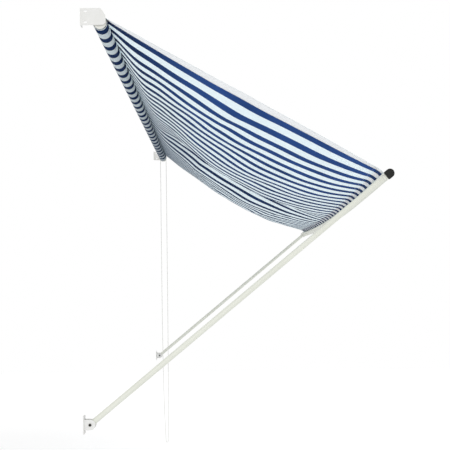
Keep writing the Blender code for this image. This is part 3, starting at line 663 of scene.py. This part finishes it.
def pickFaces(obj, test):
    bpy.ops.mesh.select_mode(type="FACE")
    bpy.ops.mesh.select_all(action="DESELECT")
    bm = bmesh.from_edit_mesh(obj.data)
    for face in bm.faces:
        if test(face.calc_center_median(), face.normal):
            face.select_set(True)
    bmesh.update_edit_mesh(obj.data)


def pickEdges(obj, test):
    bpy.ops.mesh.select_mode(type="EDGE")
    bpy.ops.mesh.select_all(action="DESELECT")
    bm = bmesh.from_edit_mesh(obj.data)
    for edge in bm.edges:
        a, b = edge.verts
        if test((a.co + b.co) / 2, (b.co - a.co).normalized()):
            edge.select_set(True)
    bmesh.update_edit_mesh(obj.data)


def cut(obj, place, way, clear=False):
    bpy.ops.mesh.select_all(action="SELECT")
    bpy.ops.mesh.bisect(plane_co=place, plane_no=way, use_fill=clear, clear_outer=clear)


# degrees: edges flatter than the first are shaded smooth, and edges sharper than the second are bevelled
shading = {"smoothTo": 32, "bevelFrom": 40}


def evenNormals(obj):
    bpy.ops.object.shade_smooth_by_angle(angle=math.radians(shading["smoothTo"]))
    mod = obj.modifiers.new("normals", "WEIGHTED_NORMAL")
    mod.keep_sharp = True
    bpy.ops.object.modifier_apply(modifier=mod.name)


def end(obj, mat, soften=0.0, steps=2):
    bpy.ops.mesh.select_all(action="SELECT")
    bpy.ops.mesh.normals_make_consistent(inside=False)
    bpy.ops.object.mode_set(mode="OBJECT")
    if soften:
        turn = math.radians(shading["bevelFrom"])
        mod = obj.modifiers.new("edges", "BEVEL")
        mod.width, mod.segments, mod.limit_method, mod.angle_limit = soften, steps, "ANGLE", turn
        bpy.ops.object.modifier_apply(modifier=mod.name)
    evenNormals(obj)
    obj.data.materials.clear()
    obj.data.materials.append(mat)
    return obj


def addCylinder(name, place, radius, depth, along, sides=facets["tube"]):
    turn = {"X": (0, math.pi / 2, 0), "Y": (math.pi / 2, 0, 0), "Z": (0, 0, 0)}[along]
    letGo()
    bpy.ops.mesh.primitive_cylinder_add(vertices=sides, radius=radius, depth=depth, location=place,
                                        rotation=turn)
    return begin(bpy.context.object, name)


def addBox(name, low, high):
    letGo()
    middle = [(a + b) / 2 for a, b in zip(low, high)]
    sizes = [b - a for a, b in zip(low, high)]
    bpy.ops.mesh.primitive_cube_add(size=1, location=middle, scale=sizes)
    return begin(bpy.context.object, name)


def carve(obj, cutter):
    letGo()
    mod = obj.modifiers.new("hole", "BOOLEAN")
    mod.operation, mod.solver, mod.object = "DIFFERENCE", "EXACT", cutter
    bpy.context.view_layer.objects.active = obj
    obj.select_set(True)
    bpy.ops.object.modifier_apply(modifier=mod.name)
    bpy.data.objects.remove(cutter, do_unlink=True)


def mirrored(obj, name):
    other = obj.copy()
    other.data = obj.data.copy()
    other.name = other.data.name = name
    bpy.context.scene.collection.objects.link(other)
    bpy.ops.object.select_all(action="DESELECT")
    bpy.context.view_layer.objects.active = other
    other.select_set(True)
    other.scale.x = -1
    bpy.ops.object.transform_apply(location=True, rotation=True, scale=True)
    bpy.ops.object.mode_set(mode="EDIT")
    bpy.ops.mesh.select_all(action="SELECT")
    bpy.ops.mesh.normals_make_consistent(inside=False)
    bpy.ops.object.mode_set(mode="OBJECT")
    bpy.ops.mesh.customdata_custom_splitnormals_clear()
    evenNormals(other)
    return other


def layInArms(obj):
    bpy.ops.object.select_all(action="DESELECT")
    bpy.context.view_layer.objects.active = obj
    obj.select_set(True)
    obj.rotation_euler = (-math.radians(awning["armAngle"]), 0, 0)
    obj.location = (0, awning["pivotY"], awning["pivotZ"])
    bpy.ops.object.transform_apply(location=True, rotation=True, scale=True)
    return obj


def settle(obj, name, solid, body):
    twin = mirrored(obj, name + "Left")
    obj.name = obj.data.name = name + "Right"
    for piece, side in ((obj, "_right"), (twin, "_left")):
        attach(piece, body)
        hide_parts(solid + side)


def joined(obj, *others):
    bpy.ops.object.select_all(action="DESELECT")
    for other in others:
        other.select_set(True)
    obj.select_set(True)
    bpy.context.view_layer.objects.active = obj
    bpy.ops.object.join()
    return obj


# upper bracket: pressed side plate with a turned wall flange, slots and screw holes
bracket = {"face": 1.5, "thick": 0.003, "depth": 0.098, "top": 0.052, "low": -0.013, "flange": 0.032,
           "slant": (0.019, 0.028), "slantRound": 0.004, "lowRound": 0.015, "slot": (0.014, 0.006),
           "slotY": -0.021, "slotZ": (0.041, -0.0015), "slotFlat": 0.0001, "hole": 0.0033, "holeIn": 0.014,
           "holeAside": 0.002, "edge": 0.0005}


def upperBracket():
    b = bracket
    obj = addBox("upperBracket", (b["face"], -b["depth"], b["low"]), (b["face"] + b["thick"], 0, b["top"]))
    cut(obj, (0, -b["thick"], 0), (0, 1, 0))
    long, high = b["slant"]
    cut(obj, (0, long - b["depth"], b["top"]), (0, -high, long), True)
    pickEdges(obj, lambda p, way: abs(way.x) > facing and p.y < long - b["depth"] + near
              and p.z > b["top"] - high - near)
    bpy.ops.mesh.bevel(offset=b["slantRound"], segments=5, affect="EDGES")
    pickEdges(obj, lambda p, way: abs(way.x) > facing and p.y < near - b["depth"] and p.z < 0)
    bpy.ops.mesh.bevel(offset=b["lowRound"], segments=8, affect="EDGES")
    pickFaces(obj, lambda p, n: n.x < -facing and p.y > -b["thick"])
    bpy.ops.mesh.extrude_region_move(TRANSFORM_OT_translate={"value": (-b["flange"], 0, 0)})
    for z in b["slotZ"]:
        long, high = b["slot"]
        half = cutThrough["plate"] / 2
        cutter = addBox("cutter", (b["face"] - half, b["slotY"] - long / 2, z - high / 2),
                        (b["face"] + half, b["slotY"] + long / 2, z + high / 2))
        pickEdges(cutter, lambda p, way: abs(way.x) > facing)
        bpy.ops.mesh.bevel(offset=(high - b["slotFlat"]) / 2, segments=8, affect="EDGES")
        carve(obj, cutter)
    for z in (b["low"] + b["holeIn"], b["top"] - b["holeIn"]):
        place = (b["face"] - b["flange"] / 2 - b["holeAside"], 0, z)
        carve(obj, addCylinder("cutter", place, b["hole"], cutThrough["plate"], "Y", facets["bolt"]))
    bpy.ops.object.mode_set(mode="EDIT")
    return end(obj, plateCoat, b["edge"])


settle(upperBracket(), "upperBracket", "upper_bracket", "wall_frame")

# foot bracket: wall plate with two ears that carry the pivot bolt
foot = {"thick": 0.003, "halfHigh": 0.036, "earRadius": 0.02, "earThick": 0.0025, "earGap": 0.023,
        "hole": 0.0033, "holeAt": 0.028, "bore": 0.0033, "corner": 0.006, "earFlat": 0.0002, "edge": 0.0004}


def footBracket():
    f, x, y, z = foot, awning["armX"], awning["pivotY"], awning["pivotZ"]
    obj = addBox("footBracket", (x - awning["armHalf"], -f["thick"], z - f["halfHigh"]),
                 (x + awning["armHalf"], 0, z + f["halfHigh"]))
    pickEdges(obj, lambda p, way: abs(way.y) > facing)
    bpy.ops.mesh.bevel(offset=f["corner"], segments=6, affect="EDGES")
    for side in (-1, 1):
        for out in (f["earGap"] / 2, f["earGap"] / 2 + f["earThick"]):
            cut(obj, (x + side * out, 0, 0), (1, 0, 0))
        cut(obj, (0, 0, z + side * f["earRadius"]), (0, 0, 1))
    pickFaces(obj, lambda p, n: n.y < -facing and abs(p.z - z) < f["earRadius"]
              and 0 < abs(p.x - x) - f["earGap"] / 2 < f["earThick"])
    reach = -y + f["earRadius"] - f["thick"]
    bpy.ops.mesh.extrude_region_move(TRANSFORM_OT_translate={"value": (0, -reach, 0)})
    pickEdges(obj, lambda p, way: abs(way.x) > facing and p.y < y - f["earRadius"] + near)
    bpy.ops.mesh.bevel(offset=f["earRadius"] - f["earFlat"] / 2, segments=14, affect="EDGES")
    for side in (-1, 1):
        place = (x, 0, z + side * f["holeAt"])
        carve(obj, addCylinder("cutter", place, f["hole"], cutThrough["plate"], "Y", facets["bolt"]))
    carve(obj, addCylinder("cutter", (x, y, z), f["bore"], cutThrough["ears"], "X", facets["bolt"]))
    bpy.ops.object.mode_set(mode="EDIT")
    return end(obj, plateCoat, f["edge"])


settle(footBracket(), "footBracket", "foot_bracket", "wall_frame")

# pivot bolt: hexagon head, chamfered, and a threaded end that stands out of the nut
pivot = {"shank": 0.003, "head": 0.0057, "headHigh": 0.004, "pastNut": 0.008, "nutHigh": 0.005, "threads": 7,
         "thread": 0.0005, "root": 0.86, "plainEnd": 0.007, "crown": 0.0004, "crownIn": 0.0009,
         "nutBore": 0.0033, "intoHead": 0.001, "headEdge": 0.0003, "nutEdge": 0.0002}


def hexPiece(name, x, high, way):
    obj = addCylinder(name, (x, awning["pivotY"], awning["pivotZ"]), pivot["head"], high, "X", 6)
    pickFaces(obj, lambda p, n: n.x * way > facing)
    bpy.ops.mesh.inset(thickness=pivot["crownIn"], depth=pivot["crown"])
    return obj


def pivotBolt():
    half, y, z = foot["earGap"] / 2 + foot["earThick"], awning["pivotY"], awning["pivotZ"]
    outer, inner = awning["armX"] + half + awning["gap"], awning["armX"] - half - pivot["pastNut"]
    high, into = pivot["headHigh"] - pivot["crown"], pivot["intoHead"]
    head = end(hexPiece("pivotBolt", outer + high / 2, high, 1), blackSteel, pivot["headEdge"])
    plain = outer + into - inner - pivot["plainEnd"]
    shank = addCylinder("shank", (outer + into - plain / 2, y, z), pivot["shank"], plain, "X", facets["bolt"])
    for i in range(pivot["threads"] * 2):
        pickFaces(shank, lambda p, n: n.x < -facing and p.x < outer + into - plain + pivot["thread"])
        bpy.ops.mesh.extrude_region_move(TRANSFORM_OT_translate={"value": (-pivot["thread"], 0, 0)})
        scale = pivot["root"] if i % 2 == 0 else 1 / pivot["root"]
        bpy.ops.transform.resize(value=(1, scale, scale))
    return joined(head, end(shank, blackSteel))


def pivotNut():
    inner = awning["armX"] - foot["earGap"] / 2 - foot["earThick"] - awning["gap"]
    high, place = pivot["nutHigh"] - pivot["crown"], (inner, awning["pivotY"], awning["pivotZ"])
    obj = hexPiece("pivotNut", inner - high / 2, high, -1)
    carve(obj, addCylinder("cutter", place, pivot["nutBore"], cutThrough["nut"], "X", facets["bolt"]))
    bpy.ops.object.mode_set(mode="EDIT")
    return end(obj, blackSteel, pivot["nutEdge"])


settle(pivotBolt(), "pivotBolt", "pivot_bolt", "wall_frame")
settle(pivotNut(), "pivotNut", "pivot_nut", "wall_frame")
print("brackets and pivots made")

# arms: round drawn tube between a moulded foot and a moulded head, laid out along Y and then swung
arm = {"radius": 0.011, "wall": 0.0012, "collar": 0.009, "foot": 0.014, "bore": 0.00305,
       "eyeRim": 0.003, "dish": 0.0004, "inside": 0.02, "plug": 0.0012, "plugLong": 0.03, "collarShare": 0.62,
       "neckLess": 0.0006, "footNeckLess": 0.0004, "neckFrom": 0.004, "tubeEdge": 0.0003, "edge": 0.0004,
       "eyeEdge": 0.0005}


def armTube():
    a, x, gap = arm, awning["armX"], awning["gap"]
    low, high = awning["barDepth"] + a["collar"] + 2 * gap - awning["barReach"], -a["foot"]
    obj = addCylinder("arm", (x, (low + high) / 2, 0), a["radius"], high - low, "Y")
    pickFaces(obj, lambda p, n: abs(n.y) > facing)
    bpy.ops.mesh.inset(thickness=a["wall"], use_individual=True)
    bpy.ops.mesh.extrude_region_shrink_fatten(TRANSFORM_OT_shrink_fatten={"value": -a["inside"]})
    return layInArms(end(obj, tubeCoat, a["tubeEdge"]))


def armFoot():
    a, x, long = arm, awning["armX"], arm["foot"] - awning["gap"]
    eye = addCylinder("armFoot", (x, 0, 0), a["radius"], 2 * a["radius"], "X")
    pickFaces(eye, lambda p, n: abs(n.x) > facing)
    bpy.ops.mesh.inset(thickness=a["radius"] - a["bore"] - a["eyeRim"], use_individual=True)
    bpy.ops.mesh.inset(thickness=a["eyeRim"], depth=-a["dish"], use_individual=True)
    bpy.ops.mesh.bridge_edge_loops()
    end(eye, polyamide, a["eyeEdge"], 3)
    neck = addCylinder("neck", (x, -(long + a["neckFrom"]) / 2, 0), a["radius"] - a["footNeckLess"],
                       long - a["neckFrom"], "Y")
    pickFaces(neck, lambda p, n: n.y < -facing)
    bpy.ops.mesh.inset(thickness=a["plug"])
    bpy.ops.mesh.extrude_region_move(TRANSFORM_OT_translate={"value": (0, -a["plugLong"], 0)})
    return layInArms(joined(eye, end(neck, polyamide, a["edge"], 3)))


def armHead():
    a = arm
    low = awning["barDepth"] + awning["gap"] - awning["barReach"]
    obj = addCylinder("armHead", (awning["armX"], low + a["collar"] / 2, 0), a["radius"], a["collar"], "Y")
    stepAt = low + a["collar"] * a["collarShare"]
    cut(obj, (0, stepAt, 0), (0, 1, 0))
    pickFaces(obj, lambda p, n: abs(n.y) < aside and p.y > stepAt)
    bpy.ops.mesh.extrude_region_shrink_fatten(TRANSFORM_OT_shrink_fatten={"value": -a["neckLess"]})
    pickFaces(obj, lambda p, n: n.y > facing and p.y > low + a["collar"] - onIt)
    bpy.ops.mesh.inset(thickness=a["plug"])
    bpy.ops.mesh.extrude_region_move(TRANSFORM_OT_translate={"value": (0, a["plugLong"], 0)})
    return layInArms(end(obj, polyamide, a["edge"], 3))


settle(armTube(), "arm", "arm", "arms")
settle(armFoot(), "armFoot", "arm_foot", "arms")
settle(armHead(), "armHead", "arm_head", "arms")
print("arms made")

# front bar: extruded aluminium D with a slot in its top for the cloth, bowed under its own weight, and its
# moulded end caps
bar = {"half": 1.545, "corner": 0.002, "slot": 0.002, "slotDeep": 0.006, "bends": 40, "edge": 0.00025,
       "capOver": 0.0017, "capThick": 0.009, "capCorner": 0.0045, "capRound": 0.0018, "capRim": 0.003,
       "capDish": (0.0004, 0.0005)}


def dSection(name, x, long, over):
    b, centre, deep = bar, -awning["barReach"], awning["barDepth"]
    obj = addCylinder(name, (x, centre, 0), awning["barRadius"] + over, long, "X")
    cut(obj, (0, centre, 0), (0, 1, 0), True)
    pickFaces(obj, lambda p, n: n.y > facing and abs(p.y - centre) < onIt)
    bpy.ops.mesh.extrude_region_move(TRANSFORM_OT_translate={"value": (0, deep + over / 2, 0)})
    bpy.ops.mesh.select_all(action="SELECT")
    bpy.ops.mesh.dissolve_limited(angle_limit=math.radians(1))
    pickEdges(obj, lambda p, way: abs(way.x) > facing and p.y > centre + deep - near)
    bpy.ops.mesh.bevel(offset=b["capCorner"] if over else b["corner"], segments=5, affect="EDGES")
    return obj


def frontBar():
    b, centre = bar, -awning["barReach"]
    obj = dSection("frontBar", 0, 2 * b["half"], 0)
    for y in (-b["slot"] / 2, b["slot"] / 2):
        cut(obj, (0, centre + y, 0), (0, 1, 0))
    pickFaces(obj, lambda p, n: n.z > facing and abs(p.y - centre) < b["slot"] / 2)
    bpy.ops.mesh.extrude_region_move(TRANSFORM_OT_translate={"value": (0, 0, -b["slotDeep"])})
    span = awning["armX"] - awning["armHalf"]
    for i in range(b["bends"] + 1):
        cut(obj, (span * (2 * i / b["bends"] - 1), 0, 0), (1, 0, 0))
    bpy.ops.object.mode_set(mode="OBJECT")
    turn = math.radians(awning["armAngle"])
    for v in obj.data.vertices:
        drop = barHang(v.co.x)
        v.co.y += drop * math.sin(turn)
        v.co.z -= drop * math.cos(turn)
    bpy.ops.object.mode_set(mode="EDIT")
    return layInArms(end(obj, tubeCoat, b["edge"], 1))


def barCap():
    b = bar
    face = b["half"] + awning["gap"]
    obj = dSection("barCap", face + b["capThick"] / 2, b["capThick"], b["capOver"])
    outside, squareOn = face + b["capThick"] - onIt, 0.99  # square enough to leave the rounded edge out
    pickEdges(obj, lambda p, way: p.x > outside)
    bpy.ops.mesh.bevel(offset=b["capRound"], segments=4, affect="EDGES", clamp_overlap=True)
    pickFaces(obj, lambda p, n: n.x > squareOn and p.x > outside)
    bpy.ops.mesh.inset(thickness=b["capRim"])
    bpy.ops.mesh.inset(thickness=b["capDish"][0], depth=-b["capDish"][1])
    return layInArms(end(obj, capAbs))


front = frontBar()
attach(front, "arms")
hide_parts("front_bar")
settle(barCap(), "barCap", "bar_cap", "arms")
print("front bar made")

# cord wheel: moulded pulley with a narrow groove and a flat floor, screwed to the right-hand plug
wheel = {"left": 1.479, "right": 1.493, "rim": 0.026, "groove": 0.0052, "bore": 0.0065, "boss": 0.014,
         "bossHigh": 0.0024, "screwAt": 0.0102, "screw": 0.002, "faceRim": 0.004, "dish": 0.0006,
         "edge": 0.0004}


def cordWheel():
    w, y = wheel, awning["axisY"]
    middle = (w["left"] + w["right"]) / 2
    obj = addCylinder("cordWheel", (middle, y, 0), w["rim"], w["right"] - w["left"], "X", facets["rim"])
    for side in (-1, 1):
        cut(obj, (middle + side * w["groove"] / 2, 0, 0), (1, 0, 0))
    pickFaces(obj, lambda p, n: abs(n.x) < aside and abs(p.x - middle) < w["groove"] / 2)
    deep = {"value": awning["grooveFloor"] - w["rim"]}
    bpy.ops.mesh.extrude_region_shrink_fatten(TRANSFORM_OT_shrink_fatten=deep)
    pickFaces(obj, lambda p, n: n.x < -facing and p.x < w["left"] + onIt)
    bpy.ops.mesh.inset(thickness=w["rim"] - w["boss"])
    bpy.ops.mesh.extrude_region_move(TRANSFORM_OT_translate={"value": (-w["bossHigh"], 0, 0)})
    pickFaces(obj, lambda p, n: n.x > facing and p.x > w["right"] - onIt)
    bpy.ops.mesh.inset(thickness=w["faceRim"])
    bpy.ops.mesh.inset(thickness=w["dish"], depth=-w["dish"])
    carve(obj, addCylinder("cutter", (middle, y, 0), w["bore"], cutThrough["wheel"], "X", facets["bore"]))
    for side in (-1, 1):
        place = (middle, y + side * w["screwAt"], 0)
        carve(obj, addCylinder("cutter", place, w["screw"], cutThrough["wheel"], "X", facets["screw"]))
    bpy.ops.object.mode_set(mode="EDIT")
    return end(obj, polyamide, w["edge"])


pulley = cordWheel()
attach(pulley, "roller")
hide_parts("cord_wheel")
print("cord wheel made")
